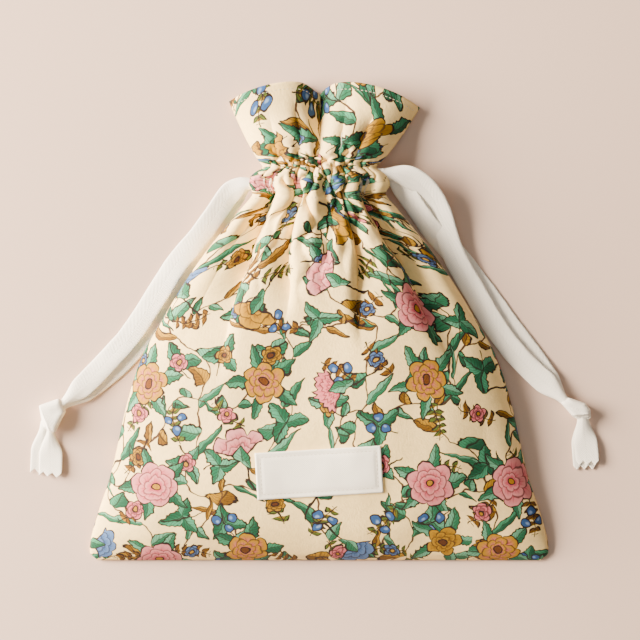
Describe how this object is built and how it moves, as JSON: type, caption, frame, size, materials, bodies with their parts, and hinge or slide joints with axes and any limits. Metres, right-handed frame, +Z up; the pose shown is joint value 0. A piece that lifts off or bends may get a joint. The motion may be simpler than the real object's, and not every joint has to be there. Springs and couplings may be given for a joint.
{
  "type": "drawstring pouch",
  "caption": "Cotton pouch with a flat folded bottom, a gathered casing and a frilled mouth, drawn shut by two flat tapes that end in knots.",
  "frame": {"origin": "middle of the ground under the pouch, at the lowest point of the lying cloth, without the tapes", "axes": "+Z up from the ground that the pouch's back lies on, +Y from the bottom fold to the mouth, +X to the right as the front is seen from above"},
  "size_m": [0.2485, 0.2086, 0.0261],
  "materials": {
    "printed_cotton": "plain-woven cotton with a small floral print",
    "cotton_tape": "herringbone woven cotton tape, off-white",
    "label_cotton": "plain-woven cotton, off-white, bare"
  },
  "bodies": {
    "root": {"pouch_cloth": "printed_cotton", "label": "label_cotton", "left_tape_in_casing": "cotton_tape", "right_tape_in_casing": "cotton_tape", "left_tape_upper": "cotton_tape", "left_tape_lower": "cotton_tape", "right_tape_upper": "cotton_tape", "right_tape_lower": "cotton_tape", "left_knot": "cotton_tape", "right_knot": "cotton_tape"}
  },
  "joints": []
}
